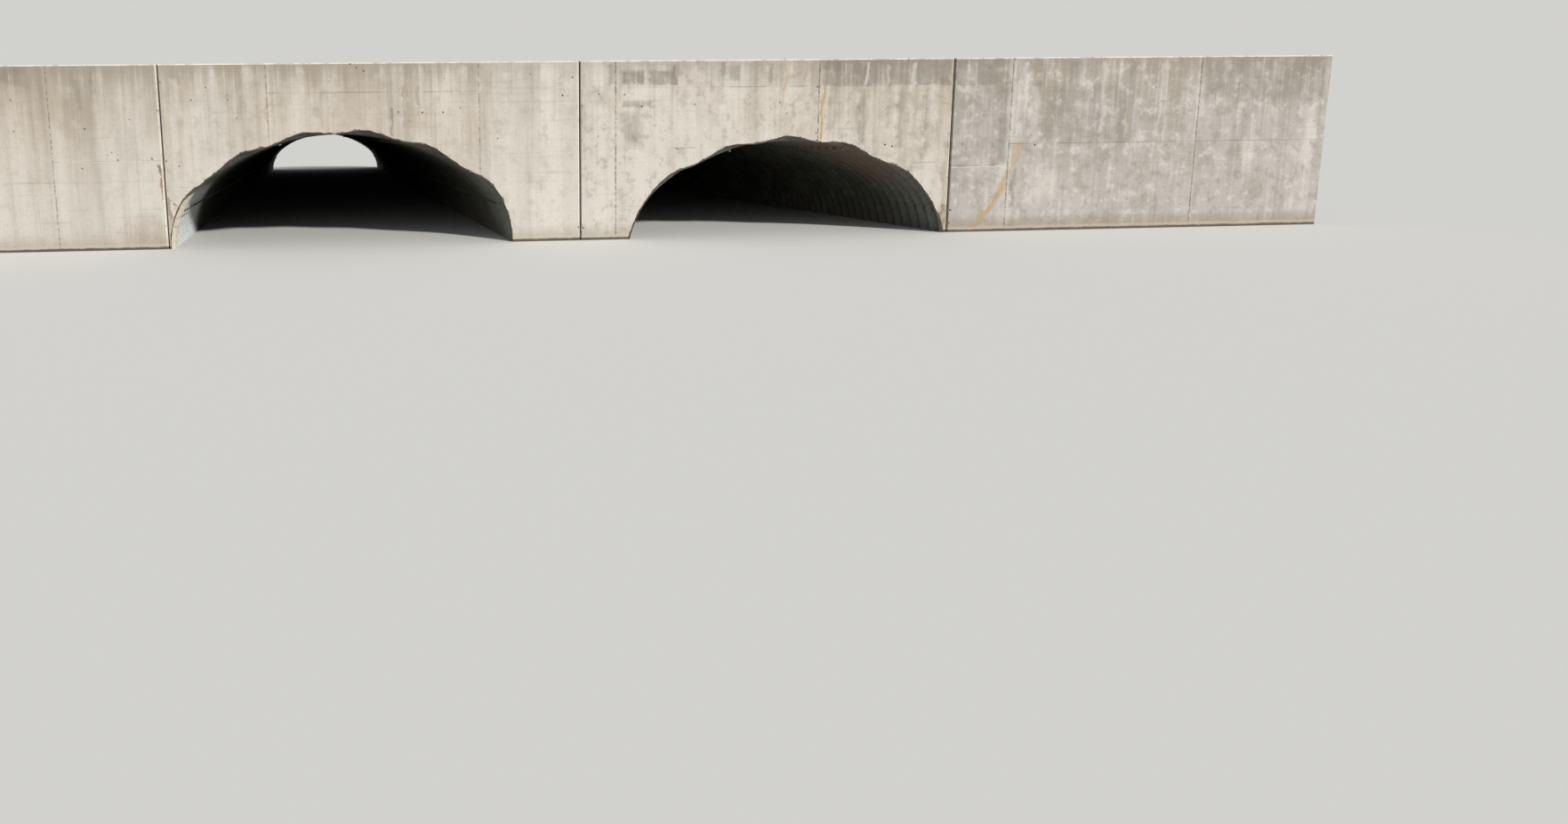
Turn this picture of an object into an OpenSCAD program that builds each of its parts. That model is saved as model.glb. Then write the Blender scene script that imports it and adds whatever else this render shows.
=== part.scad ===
// Culvert headwall: a jointed concrete wall with two skewed barrels of corrugated plate.
// The origin is under the middle joint, at the waterline and half-way through the wall.
// X runs along the wall, Y runs back from its face into the bank, Z is up.

/* [Wall] */
// Height of the wall above the water
wall_h = 2120; // [1800:10:3000]
// Thickness of the wall
wall_t = 350; // [250:10:450]
// Length of the bay around the left barrel
left_bay = 4820; // [4810:10:5400]
// Length of the bay around the right barrel
right_bay = 4560; // [4550:10:5400]
// Length of each plain bay at the ends of the wall
end_bay = 4880; // [1200:10:6000]
// Bevel along the top edges and beside the joints
bevel = 16; // [5:1:40]

/* [Joints] */
// Width of the filler between two bays
joint_w = 10; // [8:1:40]
// How far the filler stays behind the wall's faces and top
joint_recess = 24; // [10:1:60]

/* [Barrels] */
// Radius of the crown, at mid-corrugation
crown_r = 2520; // [2400:10:2520]
// Radius of the sides, at mid-corrugation
side_r = 1010; // [900:10:1010]
// Angle from the top of the crown to where its curve turns into a side's
crown_angle = 38; // [34:1:38]
// Centre of the left barrel, to the left of the middle joint
left_x = 2790; // [2700:10:2790]
// Centre of the right barrel, to the right of the middle joint
right_x = 2550; // [2450:10:2550]
// How far the right barrel sits below the left one
right_drop = 150; // [0:10:300]
// Angle by which the barrels turn left as they go back
skew = 12; // [0:1:12]
// Number of plate rings in each barrel
rings = 6; // [1:1:6]
// Length of one ring, counted in corrugations
ring_waves = 24; // [12:1:30]

/* [Corrugated plate] */
// Distance from one corrugation to the next
pitch = 152.4; // [140:0.1:160]
// Depth of a corrugation
depth = 50.8; // [40:0.1:60]
// Slope of the plate between a crest and a valley
slope_angle = 44.5; // [42:0.5:50]
// Thickness of the plate
plate_t = 5.5; // [3:0.5:7]
// Place of a corrugation's crest on the left barrel's axis, behind the wall's face
left_crest = -60; // [-76:1:76]
// Place of a corrugation's crest on the right barrel's axis, behind the wall's face
right_crest = 4; // [-76:1:76]

/* [Hidden] */
$fn = 240;
face_y = -wall_t / 2;
ring_l = ring_waves * pitch;
// Corrugations of the first ring that lie in front of the wall's face on the axis
waves_before = 4;
// Corrugations that reach from there past the wall's back
waves_in_wall = 11;
crown_y = -(crown_r - side_r) * cos(crown_angle);
side_x = (crown_r - side_r) * sin(crown_angle);
// A plain block and three rings of this inner radius fill the barrel's section
core_w = 2600;
core_h = 700;
crown_core_r = 1800;
side_core_r = 300;
// Angle down to which a hole's sides reach, so that it cuts right through the wall's foot
hole_angle = 96;
// Larger than the whole structure, for cutting away what lies beyond a plane
far = 60000;
LEFT = [-left_x, 0, left_crest, "left"];
RIGHT = [right_x, right_drop, right_crest, "right"];
BARRELS = [LEFT, RIGHT];

function crown_name(barrel, i) = str(barrel[3], "_barrel_crown_", i);
function side_name(barrel, i, hand) = str(barrel[3], "_barrel_", hand > 0 ? "right" : "left", "_side_", i);

// Corners of one corrugation, as [distance from its crest, height], moved square to the plate by off
function wave_corners(off) = let (
    flat = pitch / 4 - depth / 2 / tan(slope_angle),
    shift = off * tan(slope_angle / 2)
) [
    [flat + shift, depth / 2 + off],
    [pitch / 2 - flat + shift, off - depth / 2],
    [pitch / 2 + flat - shift, off - depth / 2],
    [pitch - flat - shift, depth / 2 + off]
];

// Edge of a run of corrugations around radius r, from a crest at distance start behind the face
function wave_line(r, off, start, waves) = concat(
    [[r + depth / 2 + off, -start]],
    [for (k = [0:waves - 1], corner = wave_corners(off)) [r + corner[1], -start - k * pitch - corner[0]]],
    [[r + depth / 2 + off, -start - waves * pitch]]
);

function backwards(points) = [for (k = [len(points) - 1:-1:0]) points[k]];

// Section of corrugated plate around radius r
module plate_section(r, start, waves) {
    polygon(concat(
        wave_line(r, plate_t / 2, start, waves),
        backwards(wave_line(r, -plate_t / 2, start, waves))
    ));
}

// Section of everything between an inner radius and the plate's outer face
module filled_section(r, inner_r, start, waves) {
    polygon(concat(
        wave_line(r, plate_t / 2, start, waves),
        [[inner_r, -start - waves * pitch], [inner_r, -start]]
    ));
}

// Turns a section about the crown's axis, over the crown
module crown_sweep() {
    translate([0, crown_y, 0])
        rotate([0, 0, 90 - crown_angle])
            rotate_extrude(angle = 2 * crown_angle) children();
}

// Turns a section about a side's axis, from the crown down to an angle measured from the top
module side_sweep(hand, to) {
    translate([hand * side_x, 0, 0])
        rotate([0, 0, hand > 0 ? 90 - to : 90 + crown_angle])
            rotate_extrude(angle = to - crown_angle) children();
}

// Puts the barrel's section upright in the wall's face, with -Z going back along the barrel
module in_barrel(barrel) {
    translate([barrel[0], face_y, -barrel[1]])
        rotate([90, 0, skew]) children();
}

// Distance behind the face at which ring i begins, on the barrel's axis
function ring_start(barrel, i) = barrel[2] - waves_before * pitch + (i - 1) * ring_l;

// Removes what lies in front of the wall's face
module behind_face() {
    difference() {
        children();
        translate([-far / 2, face_y - far, -far / 2]) cube(far);
    }
}

// Removes what lies below the water
module above_water() {
    difference() {
        children();
        translate([-far / 2, -far / 2, -far]) cube(far);
    }
}

// One ring's crown plate
module crown_plate(barrel, i) {
    color("dimgray")
        if (i == 1)
            behind_face() plain_crown(barrel, i);
        else
            plain_crown(barrel, i);
}

module plain_crown(barrel, i) {
    in_barrel(barrel)
        crown_sweep() plate_section(crown_r, ring_start(barrel, i), ring_waves);
}

// One ring's side plate, with hand 1 on the right and -1 on the left
module side_plate(barrel, i, hand) {
    color("gray")
        if (i == 1)
            behind_face() dry_side(barrel, i, hand);
        else
            dry_side(barrel, i, hand);
}

module dry_side(barrel, i, hand) {
    if (barrel[1] > 0)
        above_water() plain_side(barrel, i, hand);
    else
        plain_side(barrel, i, hand);
}

module plain_side(barrel, i, hand) {
    in_barrel(barrel)
        side_sweep(hand, 90) plate_section(side_r, ring_start(barrel, i), ring_waves);
}

// Everything inside a barrel's outer face, where it passes through the wall
module barrel_hole(barrel) {
    start = ring_start(barrel, 1);
    length = waves_in_wall * pitch;
    in_barrel(barrel) {
        crown_sweep() filled_section(crown_r, crown_core_r, start, waves_in_wall);
        for (hand = [-1, 1])
            side_sweep(hand, hole_angle) filled_section(side_r, side_core_r, start, waves_in_wall);
        translate([-core_w / 2, -core_h, -start - length]) cube([core_w, 2 * core_h, length]);
    }
}

// Rectangle with its four corners cut off
module bevelled(x0, y0, x1, y1) {
    polygon([
        [x0 + bevel, y0], [x1 - bevel, y0], [x1, y0 + bevel], [x1, y1 - bevel],
        [x1 - bevel, y1], [x0 + bevel, y1], [x0, y1 - bevel], [x0, y0 + bevel]
    ]);
}

// Rectangle with its two top corners cut off
module bevelled_top(width, height) {
    polygon([
        [-width / 2, 0], [width / 2, 0], [width / 2, height - bevel],
        [width / 2 - bevel, height], [bevel - width / 2, height], [-width / 2, height - bevel]
    ]);
}

// Plain wall bay from x0 to x1
module bay(x0, x1) {
    intersection() {
        linear_extrude(wall_h) bevelled(x0, face_y, x1, -face_y);
        translate([x0, 0, 0])
            rotate([90, 0, 90])
                linear_extrude(x1 - x0) bevelled_top(wall_t, wall_h);
    }
}

// The skewed left barrel cuts the low back corner of this bay and the filler beside it
module wall_end_left() {
    color("tan") difference() {
        bay(-left_bay - end_bay, -left_bay - joint_w / 2);
        barrel_hole(LEFT);
    }
}

module wall_left() {
    color("tan") difference() {
        bay(-left_bay + joint_w / 2, -joint_w / 2);
        barrel_hole(LEFT);
    }
}

module wall_right() {
    color("tan") difference() {
        bay(joint_w / 2, right_bay - joint_w / 2);
        barrel_hole(RIGHT);
    }
}

module wall_end_right() {
    color("tan") bay(right_bay + joint_w / 2, right_bay + end_bay);
}

// Filler strip in the joint at x
module joint(x) {
    translate([x - joint_w / 2, face_y + joint_recess, 0])
        cube([joint_w, wall_t - 2 * joint_recess, wall_h - joint_recess]);
}

module joint_left() {
    color("black") difference() {
        joint(-left_bay);
        barrel_hole(LEFT);
    }
}

module joint_middle() {
    color("black") joint(0);
}

module joint_right() {
    color("black") joint(right_bay);
}

wall_end_left();
wall_left();
wall_right();
wall_end_right();
joint_left();
joint_middle();
joint_right();
for (barrel = BARRELS, i = [1:rings]) {
    crown_plate(barrel, i);
    side_plate(barrel, i, -1);
    side_plate(barrel, i, 1);
}
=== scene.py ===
"""Culvert headwall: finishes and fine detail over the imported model. Lengths are metres."""
import math
import random
from functools import reduce

import bmesh
import bpy
from mathutils import Matrix, Vector, noise


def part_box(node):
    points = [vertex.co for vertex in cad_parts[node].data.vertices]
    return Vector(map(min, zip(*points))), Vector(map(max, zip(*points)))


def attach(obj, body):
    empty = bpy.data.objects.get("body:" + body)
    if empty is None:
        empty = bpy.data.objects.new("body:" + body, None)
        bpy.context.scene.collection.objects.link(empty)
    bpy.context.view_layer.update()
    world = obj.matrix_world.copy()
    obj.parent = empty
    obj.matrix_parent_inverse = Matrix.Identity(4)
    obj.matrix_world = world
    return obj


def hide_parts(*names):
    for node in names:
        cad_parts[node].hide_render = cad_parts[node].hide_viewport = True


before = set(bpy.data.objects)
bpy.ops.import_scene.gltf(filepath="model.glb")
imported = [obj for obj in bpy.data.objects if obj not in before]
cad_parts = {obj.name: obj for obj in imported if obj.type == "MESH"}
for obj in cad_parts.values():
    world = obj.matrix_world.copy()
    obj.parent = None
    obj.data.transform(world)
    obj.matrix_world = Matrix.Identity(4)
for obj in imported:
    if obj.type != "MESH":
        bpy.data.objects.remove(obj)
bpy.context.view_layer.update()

random.seed(7)

# Sizes of the wall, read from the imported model
WALL_LOW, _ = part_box("wall_end_left")
_, WALL_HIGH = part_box("wall_end_right")
FACE_Y = WALL_LOW.y
BACK_Y = WALL_HIGH.y
WALL_H = WALL_HIGH.z
BAYS = ("wall_end_left", "wall_left", "wall_right", "wall_end_right")
JOINTS = ("joint_left", "joint_middle", "joint_right")
JOINT_X = [sum((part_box(name)[0].x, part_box(name)[1].x)) / 2 for name in JOINTS]

# Sizes of the barrels, as in the part's source
CROWN_R = 2.520
SIDE_R = 1.010
CROWN_ANGLE = 38
SKEW = math.radians(12)
RINGS = 6
RING_WAVES = 24
PITCH = 0.1524
DEPTH = 0.0508
SLOPE = math.radians(44.5)
PLATE_T = 0.0055
WAVES_BEFORE = 4
# Name, centre along the wall, drop below the waterline, place of a crest on the axis
BARRELS = (
    ("left", -2.790, 0.000, -0.060),
    ("right", 2.550, 0.150, 0.004),
)
CROWN_Z = -(CROWN_R - SIDE_R) * math.cos(math.radians(CROWN_ANGLE))
SIDE_X = (CROWN_R - SIDE_R) * math.sin(math.radians(CROWN_ANGLE))

# Plates around the section: seams in degrees from its top, laps and bolts in metres
CROWN_SEAM = 16.6
SIDE_SEAM = 64.0
SPRING_ANGLE = 90
CROWN_STEPS = 12
HAUNCH_STEPS = 8
SIDE_STEPS = 7
SEAM_LAP = 0.045
RING_LIP = 0.051
BOLT_ROWS = 0.050
END_BOLTS = 0.244
HEAD_R = 0.0183
HEAD_H = 0.015
NUT_H = 0.019
BOLT_R = 0.0095
BOLT_END = 0.010
# Angle from which an edge stays sharp, and distances that count as none
CREASE = 32
TINY = 1e-6
WELD = 1e-5

# Broken mortar around the openings
SEAL_STEP = 0.009
SEAL_MIN = 0.003
SEAL_MORE = 0.045
SEAL_DEPTH = 0.018
SEAL_BACK = 0.004
SEAL_ROUGH = 0.012
SEAL_OVER = 0.002
GROOVE_IN = -0.012
GROOVE_FRONT = -0.004
GROOVE_TAPER = 0.8
GROOVE_BELOW = 0.02
LUMPS = 70
LUMP_TURN = 80
LUMP_DEPTH = 0.014
LUMP_DEEPER = 0.10
LUMP_R = (0.004, 0.012)
LUMP_SHAPE = (1, 0.8, 0.5)
LUMP_LOW = 0.03

# Marks in the wall's face
BEVEL = 0.016
SEAM_W = 0.004
SEAM_STEP = 0.06
SEAM_SWAY = 0.0015
SEAM_OUT = 0.001
SEAM_PAST = 0.05
LEVEL_PAST = 0.01
AIR_HOLE_R = (0.009, 0.014)
AIR_HOLE_DEEP = 0.012
HOLLOW_OUT = 0.25
PITS_A_METRE = 18
PIT_R = 0.003
PIT_MORE = 0.006
PIT_LOW = 0.05
PIT_MARGIN = 0.06
CHIPS = 26
CHIPS_ON_TOP = 0.6
CHIP_R = (0.008, 0.024)
CHIP_SHAPE = (1.5, 1, 1)
CHIP_MARGIN = 0.1
CRUMBS = 40
CRUMB_R = (0.002, 0.005)
CRUMB_SHAPE = (1, 1, 2.5)
PLUG_R = 0.028
PLUG_TAPER = 0.94
PLUG_DEEP = 0.003
AIR_HOLES = (
    (-6.44, 1.73), (-6.44, 1.38), (-5.66, 1.40), (-5.16, 1.50), (-5.32, 1.04), (-4.94, 1.05),
    (-5.72, 0.95), (-5.38, 1.13), (-4.78, 1.02), (-4.64, 0.96), (-4.46, 1.71), (-4.29, 1.85),
    (-4.05, 1.71), (-3.96, 1.50), (-2.58, 2.06), (-2.50, 2.02), (-2.12, 1.55), (-1.84, 1.54),
    (-1.60, 1.54), (-1.40, 1.59), (-0.97, 1.23), (-0.20, 1.72), (-0.08, 1.93), (0.22, 1.24),
    (0.23, 1.73), (0.54, 1.72), (0.74, 1.58), (1.17, 1.08), (1.38, 1.60), (2.41, 1.61),
    (2.87, 1.79), (2.87, 1.24), (3.73, 1.09), (3.82, 1.07), (5.63, 1.06),
)
TIE_PLUGS = ((1.98, 1.59), (5.08, 1.065), (4.69, 1.07))

# Light and stage
SUN = 2.9
SUN_WIDTH = 4
SUN_COLOUR = (1.0, 0.96, 0.89)
SUN_TOWARD = (-0.54, 0.70, -0.47)
SKY = 0.42
SKY_COLOUR = (0.93, 0.96, 1.0)
FLOOR_SEEN = (0.78, 0.78, 0.77)
FLOOR_BOUNCE = (0.30, 0.29, 0.27)
FLOOR_HALF = 400

# Camera, solved from the photograph: picture sizes in pixels, sensor in mm, angles in degrees
PHOTO_W, PHOTO_H = 1763, 926
SENSOR_W = 36
CLIP_END = 500
FOCAL_PX = 864.9
CENTRE_PX = (600, 253)
CAMERA_AT = (-1.115, FACE_Y - 9.1125, 1.3107)
YAW, PITCH_DOWN, ROLL = 3.49, 6.97, 0.757


def new_object(name, data):
    """A new object, linked to the scene."""
    thing = bpy.data.objects.new(name, data)
    bpy.context.scene.collection.objects.link(thing)
    return thing


def make_camera():
    data = bpy.data.cameras.new("camera")
    data.sensor_fit = "HORIZONTAL"
    data.sensor_width = SENSOR_W
    data.lens = FOCAL_PX * data.sensor_width / PHOTO_W
    data.shift_x = (PHOTO_W / 2 - CENTRE_PX[0]) / PHOTO_W
    data.shift_y = (CENTRE_PX[1] - PHOTO_H / 2) / PHOTO_W
    data.clip_end = CLIP_END
    camera = new_object("camera", data)
    turn = (
        Matrix.Rotation(math.radians(-YAW), 4, "Z")
        @ Matrix.Rotation(math.radians(90 - PITCH_DOWN), 4, "X")
        @ Matrix.Rotation(math.radians(-ROLL), 4, "Z")
    )
    camera.matrix_world = Matrix.Translation(CAMERA_AT) @ turn
    bpy.context.scene.camera = camera


make_camera()

# Colours of the cast concrete
CAST = {
    "warm": (0.64, 0.56, 0.47),
    "buff": (0.74, 0.68, 0.6),
    "pale foot": (0.79, 0.75, 0.69),
    "bleached": (0.85, 0.815, 0.755),
    "grey": (0.545, 0.527, 0.512),
    "brown top": (0.45, 0.385, 0.305),
    "dirty run": (0.405, 0.355, 0.29),
    "clean run": (0.85, 0.82, 0.765),
    "dirty patch": (0.43, 0.38, 0.315),
    "clean patch": (0.85, 0.82, 0.775),
    "mottle": (0.34, 0.31, 0.275),
    "dirty fleck": (0.37, 0.33, 0.28),
    "clean fleck": (0.86, 0.835, 0.79),
    "level line": (0.42, 0.375, 0.32),
    "tongue": (0.345, 0.305, 0.255),
    "dark stain": (0.235, 0.21, 0.18),
    "pale stain": (0.82, 0.79, 0.74),
    "brown stain": (0.3, 0.195, 0.115),
    "ochre stain": (0.56, 0.38, 0.19),
    "white run": (0.8, 0.77, 0.71),
    "seam lip": (0.83, 0.79, 0.725),
    "upright seam": (0.18, 0.165, 0.145),
    "level seam": (0.2, 0.18, 0.155),
    "pit": (0.19, 0.17, 0.145),
    "crack": (0.215, 0.19, 0.16),
    "recess_shade_and_dirt": (0.11, 0.095, 0.08),
    "lit bevel": (0.9, 0.85, 0.76),
    "lichen": (0.27, 0.255, 0.2),
    "silt": (0.4, 0.32, 0.22),
    "crust": (0.72, 0.66, 0.56),
    "wet": (0.052, 0.042, 0.03),
    "earth": (0.3, 0.245, 0.18),
    "grain": (0.33, 0.3, 0.26),
}
# Colours of the galvanised plates
PLATE = {
    "dark spangle": (0.087, 0.091, 0.067),
    "pale spangle": (0.121, 0.125, 0.096),
    "bloom": (0.25, 0.255, 0.225),
    "drip": (0.09, 0.086, 0.07),
    "rust": (0.2, 0.095, 0.042),
    "foot": (0.125, 0.098, 0.066),
    "mouth_light": (0.29, 0.305, 0.29),
    "painted_plate_shade": (0.055, 0.062, 0.055),
    "brown": (0.235, 0.14, 0.07),
    "cream lime": (0.86, 0.795, 0.675),
    "white lime": (0.815, 0.875, 0.912),
    "grain": (0.1, 0.1, 0.09),
    "rim": (0.06, 0.042, 0.03),
}
# Colours of the mortar, the bolts and the joint boards
OTHER = {
    "dark mortar": (0.095, 0.088, 0.078),
    "pale mortar": (0.52, 0.49, 0.43),
    "mortar grain": (0.23, 0.21, 0.18),
    "brown mortar": (0.33, 0.215, 0.125),
    "bolt": (0.165, 0.168, 0.15),
    "bolt rust": (0.11, 0.072, 0.046),
    "board": (0.016, 0.014, 0.012),
    "board dust": (0.075, 0.064, 0.05),
}


class Tree:
    """A material's nodes, written as one short call each."""

    def __init__(self, name):
        self.material = bpy.data.materials.new(name)
        self.material.use_nodes = True
        self.nodes = self.material.node_tree.nodes
        self.links = self.material.node_tree.links
        self.nodes.clear()
        self.output = self.nodes.new("ShaderNodeOutputMaterial")
        self.shader = self.nodes.new("ShaderNodeBsdfPrincipled")
        self.links.new(self.shader.outputs[0], self.output.inputs[0])
        self.place = self.nodes.new("ShaderNodeTexCoord").outputs["Object"]
        self.colour = None

    def put(self, socket, value):
        if isinstance(value, bpy.types.NodeSocket):
            self.links.new(value, socket)
        elif socket.type == "RGBA" and len(value) == 3:
            socket.default_value = (*value, 1)
        else:
            socket.default_value = value

    def math(self, operation, a, b=0.0, c=0.0, clamp=False):
        node = self.nodes.new("ShaderNodeMath")
        node.operation = operation
        node.use_clamp = clamp
        for socket, value in zip(node.inputs, (a, b, c)):
            self.put(socket, value)
        return node.outputs[0]

    def add(self, a, b):
        return self.math("ADD", a, b)

    def minus(self, a, b):
        return self.math("SUBTRACT", a, b)

    def times(self, a, b):
        return self.math("MULTIPLY", a, b)

    def times_add(self, a, b, c):
        return self.math("MULTIPLY_ADD", a, b, c)

    def apart(self, a, b):
        """How far two values are from each other."""
        return self.math("ABSOLUTE", self.minus(a, b))

    def most(self, a, b):
        return self.math("MAXIMUM", a, b)

    def least(self, a, b):
        return self.math("MINIMUM", a, b)

    def axis(self, letter, vector=None):
        node = self.nodes.new("ShaderNodeSeparateXYZ")
        self.put(node.inputs[0], vector or self.place)
        return node.outputs[letter]

    def scaled(self, scale, vector=None, shift=(0, 0, 0)):
        node = self.nodes.new("ShaderNodeMapping")
        self.put(node.inputs["Vector"], vector or self.place)
        node.inputs["Scale"].default_value = scale
        node.inputs["Location"].default_value = shift
        return node.outputs[0]

    def noise(self, scale, detail=3.0, rough=0.5, vector=None, output=0):
        node = self.nodes.new("ShaderNodeTexNoise")
        self.put(node.inputs["Vector"], vector or self.place)
        node.inputs["Scale"].default_value = scale
        node.inputs["Detail"].default_value = detail
        node.inputs["Roughness"].default_value = rough
        return node.outputs[output]

    def around(self, noise, width):
        """A noise as a shift to both sides of 0."""
        return self.times(self.minus(noise, 0.5), width)

    def wavy(self, value, noise, width):
        """A value shifted to both sides by a noise."""
        return self.add(value, self.around(noise, width))

    def cells(self, scale, vector=None, feature="F1"):
        node = self.nodes.new("ShaderNodeTexVoronoi")
        node.feature = feature
        self.put(node.inputs["Vector"], vector or self.place)
        node.inputs["Scale"].default_value = scale
        return node.outputs

    def step(self, value, low, high, out_low=0.0, out_high=1.0):
        """Smooth rise from out_low to out_high while value goes from low to high."""
        node = self.nodes.new("ShaderNodeMapRange")
        node.interpolation_type = "SMOOTHSTEP"
        names = ("Value", "From Min", "From Max", "To Min", "To Max")
        for name, number in zip(names, (value, low, high, out_low, out_high)):
            self.put(node.inputs[name], number)
        return node.outputs[0]

    def mix(self, factor, a, b):
        node = self.nodes.new("ShaderNodeMix")
        node.data_type = "RGBA"
        self.put(node.inputs["Factor"], factor)
        self.put(node.inputs[6], a)
        self.put(node.inputs[7], b)
        return node.outputs[2]

    def over(self, amount, tone):
        """Lays a tone over the colour so far."""
        self.colour = self.mix(amount, self.colour, tone)

    def bump(self, height, strength, distance):
        node = self.nodes.new("ShaderNodeBump")
        node.inputs["Strength"].default_value = strength
        node.inputs["Distance"].default_value = distance
        self.put(node.inputs["Height"], height)
        return node.outputs[0]

    def facing(self):
        """The surface's normal."""
        return self.nodes.new("ShaderNodeNewGeometry").outputs["Normal"]

    def finish(self, roughness, normal, metallic=0.0):
        self.put(self.shader.inputs["Base Color"], self.colour)
        self.put(self.shader.inputs["Roughness"], roughness)
        self.put(self.shader.inputs["Metallic"], metallic)
        self.put(self.shader.inputs["Normal"], normal)
        return self.material


# Form seams on the wall's face: upright ones by x, level ones by x0, x1 and height
UPRIGHT_SEAMS = (-8.48, -6.04, -3.61, -1.18, 0.43, 2.89, 5.30, 7.72)
LEVEL_SEAMS = (
    (-9.70, -6.04, 0.79),
    (-6.04, -4.83, 1.03),
    (-3.61, -1.18, 1.78),
    (0.43, 4.54, 1.80),
    (4.58, 5.30, 1.80),
    (4.58, 5.30, 0.82),
    (5.30, 9.44, 1.08),
)

# Stains on the wall's face, as seen in the photograph:
# x0, x1, z0, z1, softness of the edge, amount, and any lean to the right for each metre up
DARK_STAINS = (
    (-6.62, -6.28, 1.90, 2.12, 0.07, 0.45),
    (-5.72, -5.66, 1.62, 1.95, 0.02, 0.30),
    (-5.56, -5.52, 1.80, 2.10, 0.02, 0.35),
    (-4.40, -3.70, 1.00, 1.90, 0.15, 0.12),
    (-3.04, -2.98, 1.40, 1.78, 0.02, 0.22),
    (-2.22, -2.19, 1.27, 1.60, 0.010, 0.50),
    (-2.06, -2.04, 1.38, 1.86, 0.008, 0.32),
    (-1.91, -1.88, 1.62, 1.84, 0.012, 0.32),
    (0.33, 0.42, 1.84, 2.10, 0.03, 0.35),
    (0.44, 2.66, 1.81, 2.12, 0.012, 0.09),
    (0.50, 0.78, 1.84, 2.00, 0.035, 0.62),
    (0.84, 1.16, 1.83, 2.00, 0.025, 0.50),
    (1.12, 1.16, 1.83, 2.06, 0.012, 0.55),
    (1.70, 1.77, 1.93, 2.09, 0.02, 0.45),
    (1.77, 1.93, 1.87, 2.05, 0.03, 0.42),
    (2.26, 2.31, 1.85, 2.07, 0.015, 0.45),
    (0.50, 0.88, 1.58, 1.645, 0.02, 0.42),
    (0.52, 0.78, 1.12, 1.50, 0.05, 0.34, -0.12),
    (1.12, 1.37, 1.08, 1.09, 0.006, 0.55),
    (2.92, 4.53, 1.81, 2.12, 0.012, 0.46),
    (2.92, 3.20, 1.96, 2.11, 0.03, 0.60),
    (3.39, 3.43, 1.81, 2.06, 0.012, 0.60),
    (3.52, 3.57, 1.81, 1.99, 0.015, 0.35),
    (3.38, 3.47, 1.10, 1.74, 0.04, 0.50),
    (3.02, 3.10, 1.30, 1.78, 0.03, 0.30),
    (3.86, 3.93, 1.05, 1.76, 0.03, 0.34),
    (4.20, 4.28, 0.95, 1.78, 0.04, 0.26),
    (3.00, 3.34, 1.28, 1.30, 0.02, 0.25, 0.04),
    (4.10, 4.40, 0.86, 0.875, 0.010, 0.35),
    (4.59, 5.28, 1.81, 2.12, 0.012, 0.34),
    (5.12, 5.29, 0.84, 1.78, 0.05, 0.42),
    (4.62, 5.28, 0.90, 1.70, 0.10, 0.16),
    (5.355, 5.41, 0.30, 0.78, 0.02, 0.45),
    (5.62, 6.90, 1.10, 1.78, 0.07, 0.24),
    (5.64, 5.72, 1.70, 2.04, 0.02, 0.32),
    (6.02, 6.16, 1.45, 2.08, 0.04, 0.30),
    (6.75, 6.83, 1.30, 2.08, 0.03, 0.34),
    (7.76, 9.40, 1.60, 2.12, 0.08, 0.30),
    (8.30, 8.42, 1.10, 2.08, 0.05, 0.28),
    (-7.60, -7.50, 1.25, 2.08, 0.04, 0.30),
    (-8.46, -7.90, 1.60, 2.10, 0.10, 0.22),
)
BLEACHED = (
    (-1.16, 0.42, 0.00, 2.20, 0.14, 0.85),
    (0.45, 2.60, 0.60, 2.20, 0.25, 0.50),
    (-5.55, -4.83, 0.30, 2.05, 0.30, 0.50),
)
PALE_STAINS = (
    (-6.03, -5.92, 0.40, 1.45, 0.05, 0.35),
    (-4.68, -4.60, 1.15, 1.95, 0.03, 0.45),
    (-4.60, -4.46, 0.75, 1.40, 0.07, 0.25),
    (-5.90, -4.86, 1.020, 1.036, 0.006, 0.45),
    (-1.196, -1.166, 1.38, 1.97, 0.006, 0.40),
    (-0.89, -0.78, 1.90, 1.99, 0.012, 0.25),
    (1.00, 1.64, 1.08, 1.62, 0.16, 0.35),
    (3.445, 3.485, 1.81, 2.07, 0.010, 0.55),
    (3.74, 3.78, 1.81, 2.05, 0.012, 0.40),
    (4.045, 4.095, 1.81, 2.07, 0.012, 0.55),
    (4.60, 5.28, 0.795, 0.815, 0.006, 0.45),
    (5.45, 5.50, 1.50, 2.06, 0.012, 0.45),
    (5.575, 5.66, 1.12, 1.78, 0.02, 0.35),
    (5.60, 5.95, 0.35, 0.75, 0.12, 0.40),
    (6.45, 6.50, 1.20, 2.06, 0.015, 0.40),
    (7.20, 7.24, 1.15, 2.04, 0.012, 0.35),
)
OCHRE_STAINS = (
    (-3.625, -3.595, 1.35, 1.74, 0.012, 0.40),
    (1.56, 1.585, 1.48, 1.60, 0.010, 0.45),
    (2.436, 2.456, 1.55, 2.06, 0.012, 0.50, 0.05),
    (2.918, 2.952, 1.16, 1.82, 0.012, 0.85, 0.02),
    (5.36, 5.46, 0.92, 1.10, 0.030, 0.60, 0.10),
    (5.22, 5.30, 0.54, 1.06, 0.032, 0.62, 0.30),
    (4.85, 4.93, 0.03, 0.57, 0.032, 0.68, 0.76),
)
BROWN_STAINS = (
    (-4.870, -4.835, 0.58, 0.98, 0.012, 0.85),
    (-4.800, -4.765, 0.34, 0.60, 0.012, 0.55, -0.10),
    (-4.685, -4.665, 0.485, 0.60, 0.008, 0.75, -1.30),
    (-4.805, -4.720, 0.02, 0.36, 0.022, 0.30, -0.10),
    (4.46, 4.54, 0.20, 1.12, 0.03, 0.35, 0.02),
    (4.49, 4.55, 0.04, 0.36, 0.02, 0.70, -0.05),
    (-5.25, -4.84, 0.02, 0.30, 0.14, 0.30),
    (4.60, 9.44, 0.00, 0.17, 0.05, 0.24),
)
CRACKED = ((-1.26, -1.08, 0.93, 1.24, 0.04, 0.8),)
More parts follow.
